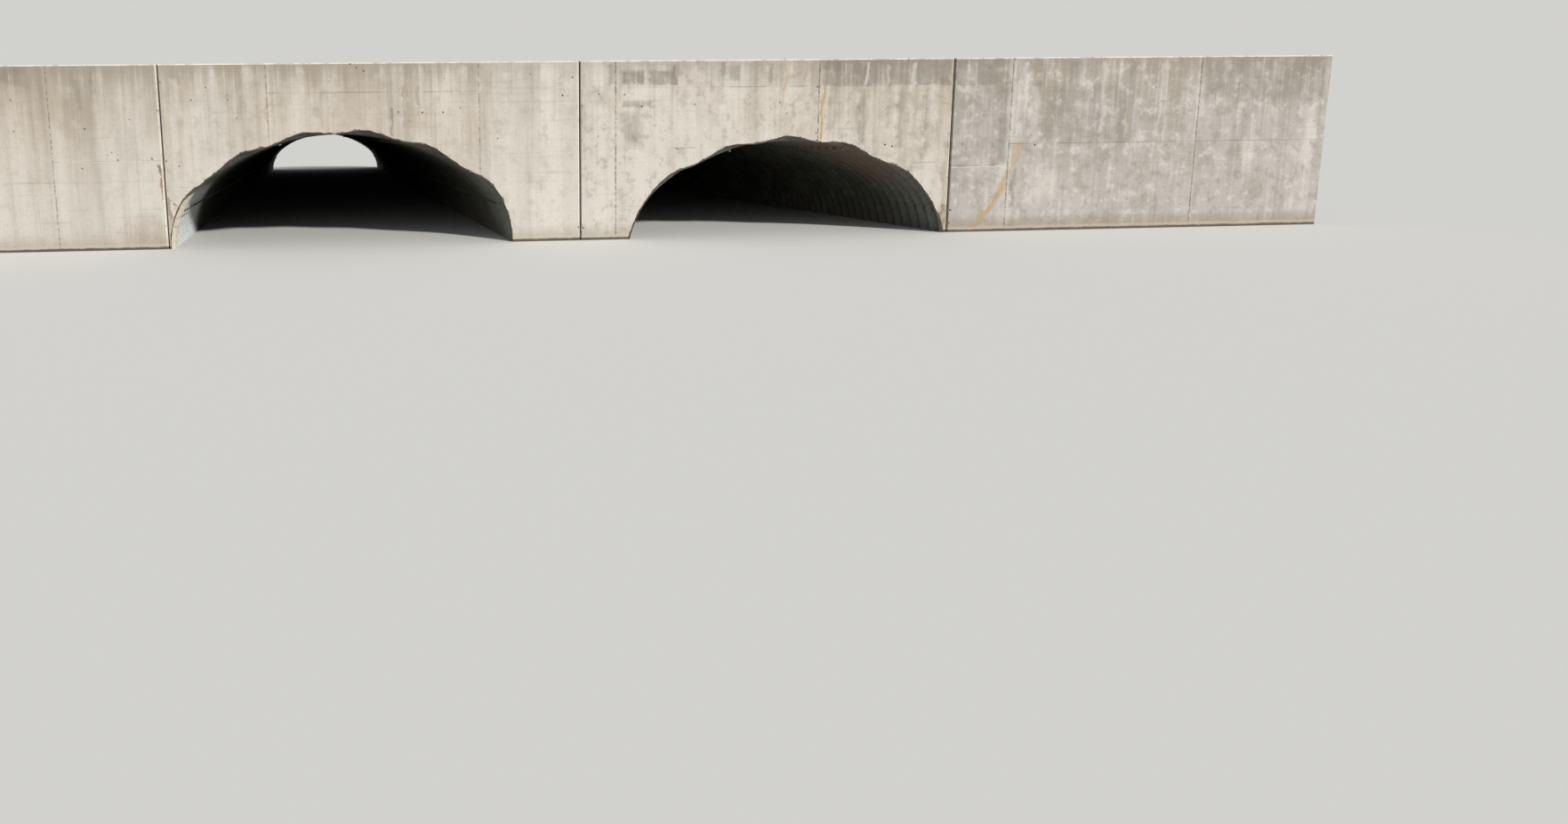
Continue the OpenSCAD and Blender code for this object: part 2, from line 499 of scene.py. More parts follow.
WHITE_RUNS = ((-4.755, -4.725, 0.32, 0.55, 0.008, 0.85, -0.06),)

# Places on the plates in the mouths: lime with painted sunlight, and painted shade, by x and
# height; brown rust by x and y
# Lime with painted sunlight on the left feet of both barrels
LIMED_AND_SUNLIT = (
    (-5.40, -4.40, -0.30, 0.66, 0.10, 1.0),
    (0.30, 0.80, -0.30, 0.40, 0.10, 0.50),
)
# Painted shade on the upper left inside the left barrel, above the sunlit foot
PAINTED_PLATE_SHADE = ((-5.00, -0.60, 0.72, 1.60, 0.10, 0.70),)
BROWNED = ((2.95, 3.95, -0.15, 0.75, 0.20, 0.60),)


def patches(t, x, z, rows):
    """The strongest of several soft-edged patches at each point."""
    masks = []
    for x0, x1, z0, z1, soft, amount, *leans in rows:
        lean = sum(leans)
        moved = t.times_add(z, -lean, lean * z0 - (x0 + x1) / 2)
        across = t.math("ABSOLUTE", t.add(x, moved))
        up = t.apart(z, (z0 + z1) / 2)
        outside = t.most(t.minus(across, (x1 - x0) / 2), t.minus(up, (z1 - z0) / 2))
        masks.append(t.step(outside, soft, -soft, 0.0, amount))
    return reduce(t.most, masks)


def by_bay(t, x, values):
    """A value for each bay of the wall, from left to right."""
    total = values[0]
    for joint, before, after in zip(JOINT_X, values, values[1:]):
        total = t.times_add(t.math("GREATER_THAN", x, joint), after - before, total)
    return total


def near_upright(t, x, reach):
    """1 on an upright form seam, falling to 0 at reach."""
    return t.step(reduce(t.least, [t.apart(x, at) for at in UPRIGHT_SEAMS]), reach, reach * 0.2)


def near_level(t, x, z, reach):
    """1 on a level form seam, falling to 0 at reach."""
    offs = []
    for x0, x1, height in LEVEL_SEAMS:
        beside = t.minus(t.apart(x, (x0 + x1) / 2), (x1 - x0) / 2)
        offs.append(t.most(t.apart(z, height), beside))
    return t.step(reduce(t.least, offs), reach, reach * 0.2)


def hairline_cracks(t, x, z):
    """Hairline cracks beside one seam of the wall's face."""
    bent = t.nodes.new("ShaderNodeVectorMath")
    bent.operation = "MULTIPLY_ADD"
    t.put(bent.inputs[0], t.noise(2.6, 4, output="Color"))
    bent.inputs[1].default_value = (0.5, 0.5, 0.5)
    t.put(bent.inputs[2], t.place)
    edge = t.cells(2.2, bent.outputs[0], "DISTANCE_TO_EDGE")["Distance"]
    line = t.step(edge, 0.0055, 0.0015)
    return t.times(line, patches(t, x, z, CRACKED))


def concrete():
    """Cast concrete, bleached by sun, streaked by rain from the top and stained at the water."""
    t = Tree("cast_concrete")
    x, y, z = (t.axis(letter) for letter in "XYZ")
    cloud = t.noise(0.55, 4, 0.55)
    warp = t.noise(2.2, 4)
    blotch = t.noise(3.4, 5, 0.62)
    fleck = t.noise(9.0, 5, 0.65)
    grain = t.noise(95.0, 4, 0.7)
    wide_streak = t.noise(1.0, 4, 0.55, t.scaled((2.6, 2.6, 0.20), shift=(3.1, 0, 0)))
    streak = t.noise(1.0, 5, 0.62, t.scaled((8.0, 8.0, 0.30)))
    thin_streak = t.noise(1.0, 5, 0.68, t.scaled((30.0, 30.0, 0.75)))
    level_line = t.noise(1.0, 3, 0.6, t.scaled((0.8, 0.8, 22.0)))

    # The cast itself: warm where it is dry and dirty, pale below, greyer to the right
    top_dark = by_bay(t, x, (0.80, 0.64, 0.34, 0.60))
    greyness = by_bay(t, x, (0.10, 0.02, 0.04, 0.88))
    t.colour = t.mix(t.step(cloud, 0.38, 0.60), CAST["warm"], CAST["buff"])
    low = t.step(t.wavy(z, warp, 0.9), 1.45, 0.50, 0.0, 0.85)
    t.over(low, CAST["pale foot"])
    bleached = patches(t, x, z, BLEACHED)
    t.over(bleached, CAST["bleached"])
    t.over(greyness, CAST["grey"])
    high = t.step(t.wavy(z, wide_streak, 2.2), 1.35, 2.15)
    high = t.times(t.times(high, top_dark), t.minus(1.0, bleached))
    t.over(high, CAST["brown top"])

    # Streaks down the face, dark and pale, stronger near the top
    streaky = t.times(t.step(z, 0.5, 1.9, 0.50, 1.0), by_bay(t, x, (1.0, 1.0, 0.85, 1.10)))
    streaky = t.times(streaky, t.times_add(bleached, -0.4, 1.0))
    streaks = ((wide_streak, 0.44, 0.45), (streak, 0.34, 0.34), (thin_streak, 0.32, 0.22))
    for runs, dirty, clean_and_lit in streaks:
        t.over(t.times(streaky, t.step(runs, 0.52, 0.66, 0.0, dirty)), CAST["dirty run"])
        t.over(t.times(streaky, t.step(runs, 0.47, 0.36, 0.0, clean_and_lit)), CAST["clean run"])
    patchy = t.add(t.times(blotch, 0.7), t.times(streak, 0.3))
    mottled = by_bay(t, x, (0.45, 0.65, 1.20, 1.45))
    t.over(t.times(mottled, t.step(patchy, 0.51, 0.60, 0.0, 0.20)), CAST["dirty patch"])
    t.over(t.times(mottled, t.step(patchy, 0.48, 0.38, 0.0, 0.26)), CAST["clean patch"])
    mottle = t.times(t.step(blotch, 0.54, 0.70, 0.0, 0.42), t.add(t.times(greyness, 0.9), 0.20))
    t.over(mottle, CAST["mottle"])
    t.over(t.times(mottled, t.step(fleck, 0.53, 0.66, 0.0, 0.36)), CAST["dirty fleck"])
    t.over(t.times(mottled, t.step(fleck, 0.46, 0.34, 0.0, 0.34)), CAST["clean fleck"])
    t.over(t.step(level_line, 0.56, 0.70, 0.0, 0.20), CAST["level line"])

    # Dirt run down from the top edge, in tongues
    reach = t.add(t.times(t.step(streak, 0.35, 0.70), 0.42), t.times(thin_streak, 0.16))
    run = t.step(t.math("DIVIDE", t.minus(WALL_H, z), reach), 1.0, 0.10)
    run = t.times(run, t.times_add(bleached, -0.30, 0.50))
    t.over(run, CAST["tongue"])

    # Stains at their places, with ragged edges and broken by the streaks
    ragged = t.noise(14.0, 4, 0.7)
    bent = t.around(t.noise(4.5, 2), 0.16)
    wx = t.add(x, t.add(bent, t.around(ragged, 0.06)))
    wz = t.wavy(z, fleck, 0.05)
    broken = t.add(t.times(thin_streak, 0.6), t.times(fleck, 0.4))
    broken = t.step(broken, 0.38, 0.54, 0.70, 1.25)
    front = t.step(y, 0.0, FACE_Y * 0.9)
    broken = t.times(broken, front)
    for rows, shown, tone in (
        (DARK_STAINS, broken, "dark stain"),
        (PALE_STAINS, front, "pale stain"),
        (BROWN_STAINS, broken, "brown stain"),
        (OCHRE_STAINS, broken, "ochre stain"),
    ):
        t.over(t.times(patches(t, wx, wz, rows), shown), CAST[tone])
    t.over(patches(t, wx, wz, WHITE_RUNS), CAST["white run"])

    # Seams, with the dirt they hold, and the paler lip along them
    waver = t.around(t.noise(5.0, 2), 0.006)
    dotted = t.step(t.noise(22.0, 3, 0.7), 0.44, 0.56, 0.10, 1.0)
    dotted = t.times(dotted, by_bay(t, x, (0.85, 0.70, 1.0, 0.85)))
    upright = t.times(near_upright(t, t.add(x, waver), 0.014), dotted)
    here_and_there = t.step(t.noise(2.6, 3), 0.46, 0.54, 0.10, 1.0)
    level = t.times(near_level(t, x, t.add(z, t.times(waver, 0.3)), 0.006), here_and_there)
    level = t.times(level, by_bay(t, x, (0.45, 1.0, 1.0, 1.0)))
    t.over(t.times(near_upright(t, x, 0.06), 0.12), CAST["seam lip"])
    t.over(t.times(upright, 0.85), CAST["upright seam"])
    t.over(t.times(level, 0.62), CAST["level seam"])

    pits = t.step(t.cells(38.0)["Distance"], 0.15, 0.07)
    pits = t.times(pits, t.step(t.noise(4.0, 3), 0.46, 0.58))
    t.over(t.times(pits, 0.60), CAST["pit"])
    crack = hairline_cracks(t, x, z)
    t.over(t.times(crack, 0.50), CAST["crack"])

    # Painted shade, with dirt, in what is cut into the face; the bevels that face up or right,
    # toward the sun, get a painted highlight instead
    facing = t.facing()
    from_joint = reduce(t.least, [t.apart(x, joint) for joint in JOINT_X])
    # Share of the painted highlight on the bevels beside the joints, less above 1 m in the left
    # end bay
    clean_and_lit = t.most(t.step(z, 1.0, 0.6), by_bay(t, x, (0.80, 1.0, 1.0, 1.0)))
    beside = t.times(t.step(from_joint, BEVEL * 1.7, BEVEL * 1.5), clean_and_lit)
    on_bevel = t.most(t.step(z, WALL_H - BEVEL * 1.1, WALL_H - BEVEL), beside)
    toward = t.times(t.add(t.axis("X", facing), t.axis("Z", facing)), t.axis("Y", facing))
    lit = t.times(on_bevel, t.step(toward, -0.30, -0.45))
    # Painted shade with dirt: surfaces set back from the face, in pits, grooves, chips and joint
    # chamfers, are darkened towards near black
    recess_shade_and_dirt = t.times(t.step(y, FACE_Y + 0.0034, FACE_Y + 0.006), t.step(y, -0.08, -0.12))
    recess_shade_and_dirt = t.times(recess_shade_and_dirt, t.math("LESS_THAN", z, WALL_H - BEVEL))
    recess_shade_and_dirt = t.times(recess_shade_and_dirt, t.minus(1.0, lit))
    t.over(t.times(recess_shade_and_dirt, 0.78), CAST["recess_shade_and_dirt"])
    # Painted highlight on the sunward bevels, broken up by the flecks
    lit = t.times(lit, t.step(fleck, 0.62, 0.46, 0.35, 0.85))
    t.over(lit, CAST["lit bevel"])

    # The top, where lichen and soil lie, and the foot at the waterline
    top = t.step(t.axis("Z", facing), 0.85, 0.98)
    lichen = t.times(top, t.step(blotch, 0.40, 0.62, 0.15, 0.75))
    t.over(lichen, CAST["lichen"])
    silt = t.step(t.wavy(z, blotch, 0.22), 0.22, 0.02)
    t.over(t.times(silt, 0.45), CAST["silt"])
    crust = t.step(t.wavy(z, fleck, 0.03), 0.075, 0.055)
    t.over(t.times(crust, 0.40), CAST["crust"])
    wet = t.step(t.wavy(z, fleck, 0.03), 0.038, 0.024)
    t.over(t.times(wet, 0.92), CAST["wet"])
    earth = t.times(t.step(y, 0.10, -FACE_Y * 0.95), t.step(blotch, 0.30, 0.60, 0.35, 0.75))
    t.over(earth, CAST["earth"])
    t.over(t.step(grain, 0.35, 0.68, 0.0, 0.20), CAST["grain"])

    height = t.add(t.times(grain, 0.35), t.times(fleck, 0.45))
    height = t.minus(height, t.times(t.most(pits, crack), 1.2))
    height = t.add(height, t.times(thin_streak, 0.20))
    roughness = t.step(wet, 0.0, 1.0, 0.88, 0.42)
    return t.finish(roughness, t.bump(height, 0.50, 0.004))


def mortar():
    """Grey mortar that seals the plates into the wall."""
    t = Tree("seal_mortar")
    blotch = t.noise(12.0, 5, 0.65)
    grain = t.noise(140.0, 4, 0.7)
    t.colour = t.mix(t.step(blotch, 0.50, 0.60), OTHER["dark mortar"], OTHER["pale mortar"])
    t.over(t.step(grain, 0.35, 0.65, 0.0, 0.35), OTHER["mortar grain"])
    low = t.step(t.axis("Z"), 0.80, 0.55, 0.0, 0.75)
    t.over(low, OTHER["brown mortar"])
    return t.finish(0.92, t.bump(grain, 0.7, 0.004))


def galvanised():
    """Old galvanised plate: dull spangle, pale bloom, brown rust low down and in patches."""
    t = Tree("galvanised_plate")
    x, y, z = (t.axis(letter) for letter in "XYZ")
    tone = t.axis("X", t.cells(26.0)["Color"])
    bloom = t.noise(3.0, 5, 0.6)
    patch = t.noise(1.1, 5, 0.65, t.scaled((1, 1, 1), shift=(2.0, 4.0, 1.0)))
    grain = t.noise(120.0, 4, 0.7)
    drip = t.noise(1.0, 4, 0.6, t.scaled((14.0, 14.0, 1.2)))
    t.colour = t.mix(tone, PLATE["dark spangle"], PLATE["pale spangle"])
    t.over(t.step(bloom, 0.44, 0.66, 0.0, 0.50), PLATE["bloom"])
    t.over(t.step(drip, 0.50, 0.68, 0.0, 0.45), PLATE["drip"])
    rust = t.step(patch, 0.58, 0.70)
    t.over(t.times(rust, 0.70), PLATE["rust"])
    behind = t.minus(y, FACE_Y)
    mouth_light = t.step(t.wavy(behind, bloom, 0.9), 1.10, 0.25)
    low = t.step(t.wavy(z, bloom, 0.30), 0.34, 0.03)
    low = t.times(low, t.times_add(mouth_light, -0.75, 1.0))
    t.over(t.times(low, 0.50), PLATE["foot"])
    speckle = t.step(t.noise(26.0, 4, 0.7), 0.40, 0.60, 0.45, 1.0)
    # Painted light: the plates near the mouth are lightened, where light from outside reaches them
    t.over(t.times(t.times(mouth_light, speckle), 0.42), PLATE["mouth_light"])
    # Painted shade: the plates there are darkened towards near black
    painted_plate_shade = t.times(patches(t, x, z, PAINTED_PLATE_SHADE), t.step(speckle, 0.45, 1.0, 1.0, 0.55))
    t.over(painted_plate_shade, PLATE["painted_plate_shade"])
    browned = t.times(patches(t, x, y, BROWNED), t.step(z, 0.35, 0.60))
    t.over(t.times(browned, speckle), PLATE["brown"])
    # Lime and painted sunlight: pale cream near the face, blue-white deeper in
    limed_and_sunlit = t.times(patches(t, x, z, LIMED_AND_SUNLIT), t.step(behind, 1.9, 1.2))
    # Both limed feet are left ones, whose inner surface faces right, toward the sun; the lime
    # there carries painted sunlight too
    facing = t.facing()
    limed_and_sunlit = t.times(limed_and_sunlit, t.step(t.axis("X", facing), 0.0, 0.25))
    speckle = t.step(speckle, 0.45, 0.75, 0.80, 1.0)
    lime_in_painted_sun = t.mix(t.step(behind, 0.12, 0.34), PLATE["cream lime"], PLATE["white lime"])
    t.over(t.times(limed_and_sunlit, speckle), lime_in_painted_sun)
    t.over(t.step(grain, 0.40, 0.70, 0.0, 0.25), PLATE["grain"])
    # The plates' cut edges in the wall's face are rusty and dark
    rim = t.step(behind, 0.003, 0.0005)
    t.over(t.times(rim, 0.90), PLATE["rim"])
    roughness = t.add(t.times(bloom, 0.25), t.add(t.times(t.most(rust, rim), 0.18), 0.42))
    dull = t.most(t.most(rust, low), t.most(rim, limed_and_sunlit))
    metallic = t.math("SUBTRACT", 0.35, t.times(dull, 0.35), clamp=True)
    normal = t.bump(t.add(grain, t.times(rust, 0.8)), 0.35, 0.0015)
    return t.finish(roughness, normal, metallic)


def rusty_bolt():
    t = Tree("bolt_steel")
    blotch = t.noise(30.0, 4, 0.6)
    grain = t.noise(400.0, 3, 0.6)
    t.colour = t.mix(t.step(blotch, 0.44, 0.68), OTHER["bolt"], OTHER["bolt rust"])
    roughness = t.step(blotch, 0.44, 0.68, 0.60, 0.85)
    metallic = t.step(blotch, 0.68, 0.44, 0.0, 0.4)
    return t.finish(roughness, t.bump(grain, 0.4, 0.0008), metallic)


def filler():
    """Black joint board, dusty and crumbled at its face."""
    t = Tree("joint_board")
    crumb = t.noise(55.0, 5, 0.7)
    dust = t.noise(6.0, 4, 0.6)
    t.colour = t.mix(t.step(dust, 0.45, 0.70, 0.0, 0.5), OTHER["board"], OTHER["board dust"])
    return t.finish(0.92, t.bump(crumb, 0.8, 0.006))


CONCRETE = concrete()
STEEL = galvanised()
BOLT = rusty_bolt()
FILLER = filler()
MORTAR = mortar()


def finish_mesh(name, build, smooth=False):
    """Turns the built mesh into a Blender mesh; a smooth one keeps its creases."""
    bmesh.ops.recalc_face_normals(build, faces=build.faces)
    for face in build.faces:
        face.smooth = smooth
    mesh = bpy.data.meshes.new(name)
    build.to_mesh(mesh)
    build.free()
    if smooth:
        mesh.set_sharp_from_angle(angle=math.radians(CREASE))
    return mesh


def new_piece(name, build, material, nodes=(), smooth=False):
    """Turns a built mesh into a piece of the object."""
    piece = new_object(name, finish_mesh(name, build, smooth))
    piece.data.materials.append(material)
    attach(piece, "root")
    if nodes:
        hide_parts(*nodes)
    return piece


def section_arc(turn):
    """Centre (x, y) and radius of the section where it lies this many degrees from its top."""
    if abs(turn) <= CROWN_ANGLE:
        return 0.0, CROWN_Z, CROWN_R
    return math.copysign(SIDE_X, turn), 0.0, SIDE_R


def section_point(turn, out, along=0.0):
    """A point this far out from the mean surface, in the barrel's section frame."""
    x, y, radius = section_arc(turn)
    angle = math.radians(turn)
    reach = radius + out
    return Vector((x + reach * math.sin(angle), y + reach * math.cos(angle), -along))


def degrees_along(turn, length):
    """Degrees that a length takes up on the section's curve at a turn."""
    return math.degrees(length / section_arc(turn)[2])


def barrel_matrix(barrel):
    """From the barrel's section (x across, y up, -z back along it) to the model's frame."""
    _, centre, drop, _ = barrel
    return (
        Matrix.Translation((centre, FACE_Y, -drop))
        @ Matrix.Rotation(SKEW, 4, "Z")
        @ Matrix.Rotation(math.radians(90), 4, "X")
    )


def rolled_profile(arc_points):
    """Offsets of one corrugation from a crest on, as (distance, height).

    Equal arcs at crest and valley are joined by straight slopes.
    """
    rise = DEPTH / 2
    quarter = PITCH / 4
    # The arc and the slope together rise half the depth over a quarter of the pitch
    radius = (quarter * math.tan(SLOPE) - rise) / (1 / math.cos(SLOPE) - 1)
    arc = [SLOPE * k / (arc_points - 1) for k in range(arc_points)]
    down = [(radius * math.sin(a), rise - radius * (1 - math.cos(a))) for a in arc]
    first = down + [(2 * quarter - d, -h) for d, h in reversed(down)]
    second = [(2 * quarter + d, -h) for d, h in first[1:]]
    return [p for p in first + second if p[0] < PITCH - TINY]


FINE_PROFILE = rolled_profile(3)
PLAIN_PROFILE = rolled_profile(2)


def wave_points(start, waves, profile, lip):
    """(distance behind the face, height) from a crest at start, over so many corrugations."""
    points = [(start + k * PITCH + d, h) for k in range(waves) for d, h in profile]
    end = [(start + waves * PITCH + d, h) for d, h in profile if d <= lip]
    return points + end


def wave_height(barrel, along):
    """Height of the corrugations at a distance along the barrel's axis."""
    at = (along - barrel[3]) % PITCH
    for (d0, h0), (d1, h1) in zip(FINE_PROFILE, FINE_PROFILE[1:] + [(PITCH, DEPTH / 2)]):
        if at <= d1:
            return h0 + (h1 - h0) * (at - d0) / (d1 - d0)
    return DEPTH / 2


def plate_build(barrel, turns, points, under_near, under_edges):
    """Closed corrugated plate over these turns, tucked under its neighbours by its own thickness.

    under_near and under_edges say whether the near end and the first and last turn lie underneath.
    """
    build = bmesh.new()
    place = barrel_matrix(barrel)
    last = len(points) - 1
    steps = len(turns) - 1
    layers = []
    for side in (0.5, -0.5):
        rows = []
        for k, turn in enumerate(turns):
            row = []
            for m, (distance, height) in enumerate(points):
                under = under_near * (1 - m / last)
                under += under_edges[0] * (1 - k / steps) + under_edges[1] * k / steps
                out = height + (side - under) * PLATE_T
                row.append(build.verts.new(place @ section_point(turn, out, distance)))
            rows.append(row)
        layers.append(rows)
    outer, inner = layers
    for k in range(steps):
        for m in range(last):
            build.faces.new((outer[k][m], outer[k + 1][m], outer[k + 1][m + 1], outer[k][m + 1]))
            build.faces.new((inner[k][m], inner[k][m + 1], inner[k + 1][m + 1], inner[k + 1][m]))
        for m in (0, last):
            build.faces.new((outer[k][m], inner[k][m], inner[k + 1][m], outer[k + 1][m]))
    for k in (0, steps):
        for m in range(last):
            build.faces.new((outer[k][m], outer[k][m + 1], inner[k][m + 1], inner[k][m]))
    bmesh.ops.recalc_face_normals(build, faces=build.faces)
    return build


def cut(build, point, normal):
    """Removes what lies on the normal's side of a plane and closes the cut."""
    everything = build.verts[:] + build.edges[:] + build.faces[:]
    result = bmesh.ops.bisect_plane(
        build, geom=everything, plane_co=point, plane_no=normal, clear_outer=True, dist=TINY
    )
    edges = [part for part in result["geom_cut"] if isinstance(part, bmesh.types.BMEdge)]
    rim = [edge for edge in edges if edge.is_boundary]
    if rim:
        bmesh.ops.triangle_fill(build, edges=rim, use_beauty=True, normal=normal)


def ring_start(barrel, ring):
    return barrel[3] - WAVES_BEFORE * PITCH + (ring - 1) * RING_WAVES * PITCH


def spread(low, high, steps):
    return [low + (high - low) * k / steps for k in range(steps + 1)]


def mirrored(turns):
    return [-turn for turn in reversed(turns)]


def make_ring(barrel, ring):
    """One ring's five plates, in place of its CAD nodes, lapped where the real seams lie."""
    name, _, drop, _ = barrel
    profile = FINE_PROFILE if ring in (1, RINGS) else PLAIN_PROFILE
    lip = RING_LIP if ring < RINGS else 0.0
    points = wave_points(ring_start(barrel, ring), RING_WAVES, profile, lip)
    crown_lap = degrees_along(CROWN_SEAM, SEAM_LAP)
    side_lap = degrees_along(SIDE_SEAM, SEAM_LAP)
    crown_edge = CROWN_SEAM + crown_lap
    crown = spread(-crown_edge, crown_edge, CROWN_STEPS)
    haunch = spread(CROWN_SEAM - crown_lap, CROWN_ANGLE, HAUNCH_STEPS)
    haunch += spread(CROWN_ANGLE, SIDE_SEAM + side_lap, SIDE_STEPS)[1:]
    side = spread(SIDE_SEAM - side_lap, SPRING_ANGLE, SIDE_STEPS)
    plates = (
        ("crown_plate", crown, (0, 0), ("crown",)),
        ("right_haunch_plate", haunch, (1, 0), ("crown", "right_side")),
        ("left_haunch_plate", mirrored(haunch), (0, 1), ("crown", "left_side")),
        ("right_side_plate", side, (1, 0), ("right_side",)),
        ("left_side_plate", mirrored(side), (0, 1), ("left_side",)),
    )
    for part, turns, under_edges, covers in plates:
        build = plate_build(barrel, turns, points, 1 if ring > 1 else 0, under_edges)
        if ring == 1:
            cut(build, (0, FACE_Y, 0), (0, -1, 0))
        if drop > 0 and "side" in part:
            cut(build, (0, 0, 0), (0, 0, -1))
        title = f"{name}_barrel_{part}_{ring}"
        covered = [f"{name}_barrel_{cover}_{ring}" for cover in covers]
        new_piece(title, build, STEEL, covered, smooth=True)


def add_tube(build, rows):
    """A closed solid from rows of points, each of which goes around its section once."""
    rows = [[build.verts.new(point) for point in row] for row in rows]
    count = len(rows[0])
    for one, other in zip(rows, rows[1:]):
        for k in range(count):
            build.faces.new((one[k], one[(k + 1) % count], other[(k + 1) % count], other[k]))
    build.faces.new(rows[0])
    build.faces.new(list(reversed(rows[-1])))


def add_prism(build, place, base, outward, radius, height):
    """A hexagonal prism that stands on base."""
    turn = outward.to_track_quat("Z", "Y").to_matrix()
    corners = [(math.cos(math.radians(60 * k)), math.sin(math.radians(60 * k))) for k in range(6)]
    add_tube(build, [
        [place @ (base + turn @ Vector((radius * x, radius * y, level))) for x, y in corners]
        for level in (0.0, height)
    ])


def bolt_places(barrel, ring):
    """(turn, distance behind the face, height) of every bolt of a ring."""
    start = ring_start(barrel, ring)
    places = []
    for seam in (CROWN_SEAM, SIDE_SEAM):
        row = degrees_along(seam, BOLT_ROWS / 2)
        for hand in (-1, 1):
            for k in range(RING_WAVES):
                places.append((hand * (seam + row), start + k * PITCH, DEPTH / 2))
                places.append((hand * (seam - row), start + (k + 0.5) * PITCH, -DEPTH / 2))
    if ring < RINGS:
        turn = 0.0
        while turn < SPRING_ANGLE:
            if min(abs(turn - CROWN_SEAM), abs(turn - SIDE_SEAM)) > degrees_along(turn, BOLT_ROWS):
                hands = (-1, 1) if turn else (1,)
                places += [(hand * turn, start + RING_WAVES * PITCH, DEPTH / 2) for hand in hands]
            turn += degrees_along(turn, END_BOLTS)
    return places


def make_bolts(barrel, ring):
    """Heads inside and nuts with their bolt ends outside, along the laps of a ring."""
    place = barrel_matrix(barrel)
    build = bmesh.new()
    for turn, distance, height in bolt_places(barrel, ring):
        inside = section_point(turn, height - 2 * PLATE_T, distance)
        outside = section_point(turn, height + PLATE_T * 0.5, distance)
        outward = (outside - inside).normalized()
        at = place @ inside
        if at.y < FACE_Y + HEAD_R or at.z < HEAD_R:
            continue
        add_prism(build, place, inside, -outward, HEAD_R, HEAD_H)
        if at.y > BACK_Y:
            add_prism(build, place, outside, outward, HEAD_R, NUT_H)
            add_prism(build, place, outside + outward * NUT_H, outward, BOLT_R, BOLT_END)
    new_piece(f"{barrel[0]}_barrel_bolts_{ring}", build, BOLT)


def face_point(barrel, turn, out, depth):
    """The point this far out from the plate's outer surface, at a depth behind the wall's face."""
    along = 0.0
    # The corrugation's height depends on along, so this takes a few rounds
    for _ in range(4):
        at = section_point(turn, wave_height(barrel, along) + PLATE_T / 2 + out, along)
        along = (depth - at.x * math.sin(SKEW)) / math.cos(SKEW)
    return barrel_matrix(barrel) @ Vector((at.x, at.y, -along))


def rim_turns(barrel):
    """Turns around an opening, a seal step apart, from one foot to the other."""
    foot = math.degrees(math.acos(barrel[2] / SIDE_R))
    turns = [-foot]
    while turns[-1] < foot:
        turns.append(turns[-1] + degrees_along(turns[-1], SEAL_STEP))
    turns[-1] = foot
    return turns


def rough(*place):
    """Smooth random value from -1 to 1 at a place."""
    return noise.noise(Vector(place))


def seal_widths(barrel):
    """Width of the broken band around an opening at each of its turns."""
    seed = barrel[1] * 9
    widths = []
    for k in range(len(rim_turns(barrel))):
        broad = max(0.0, rough(k * 0.09, seed, 0.0) + 0.25)
        spiky = abs(rough(k * 0.47, seed, 5.0)) + 0.6 * random.random()
        widths.append(SEAL_MIN + SEAL_MORE * broad * spiky)
    return widths


def strip_mesh(rows):
    """A closed strip from rows of points around its section."""
    build = bmesh.new()
    add_tube(build, rows)
    bmesh.ops.recalc_face_normals(build, faces=build.faces)
    return build


def groove_cutter(barrel, widths):
    """What is broken out of the concrete around an opening."""
    rows = []
    for turn, width in zip(rim_turns(barrel), widths):
        rows.append([
            face_point(barrel, turn, GROOVE_IN, GROOVE_FRONT),
            face_point(barrel, turn, width, GROOVE_FRONT),
            face_point(barrel, turn, width * GROOVE_TAPER, SEAL_DEPTH),
            face_point(barrel, turn, GROOVE_IN, SEAL_DEPTH),
        ])
    # Runs on below the foot, so that the groove is open there
    below = Vector((0, 0, -GROOVE_BELOW))
    rows.insert(0, [point + below for point in rows[0]])
    rows.append([point + below for point in rows[-1]])
    return strip_mesh(rows)


def make_seal(barrel, widths):
    """Crumbling mortar between the plates and the concrete, set back from the face."""
    seed = barrel[1] * 5
    rows = []
    for k, (turn, width) in enumerate(zip(rim_turns(barrel), widths)):
        swell = [max(0.0, rough(k * 0.31, j * 0.9, seed) + 0.25) for j in range(3)]
        back = [SEAL_BACK + SEAL_ROUGH * each for each in swell]
        deepest = SEAL_DEPTH + SEAL_BACK
        rows.append([
            face_point(barrel, turn, 0.0, back[0]),
            face_point(barrel, turn, width * 0.5, back[1]),
            face_point(barrel, turn, width + SEAL_OVER, back[2]),
            face_point(barrel, turn, width + SEAL_OVER, deepest),
            face_point(barrel, turn, 0.0, deepest),
        ])
    build = strip_mesh(rows)
    cut(build, (0, 0, 0), (0, 0, -1))
    new_piece(f"{barrel[0]}_opening_mortar", build, MORTAR)


def lump(build, centre, size, shape, seed):
    """A small broken lump; shape gives the lengths of its axes as parts of size."""
    made = bmesh.ops.create_icosphere(build, subdivisions=1, radius=1.0)["verts"]
    turn = Matrix.Rotation(seed * 2.4, 3, "X") @ Matrix.Rotation(seed * 1.3, 3, "Z")
    axes = Vector([size * part for part in shape])
    for vert in made:
        swell = 1 + 0.45 * rough(vert.co.x * 1.7 + seed, vert.co.y * 1.7, vert.co.z * 1.7)
        vert.co = centre + turn @ (vert.co * axes) * swell


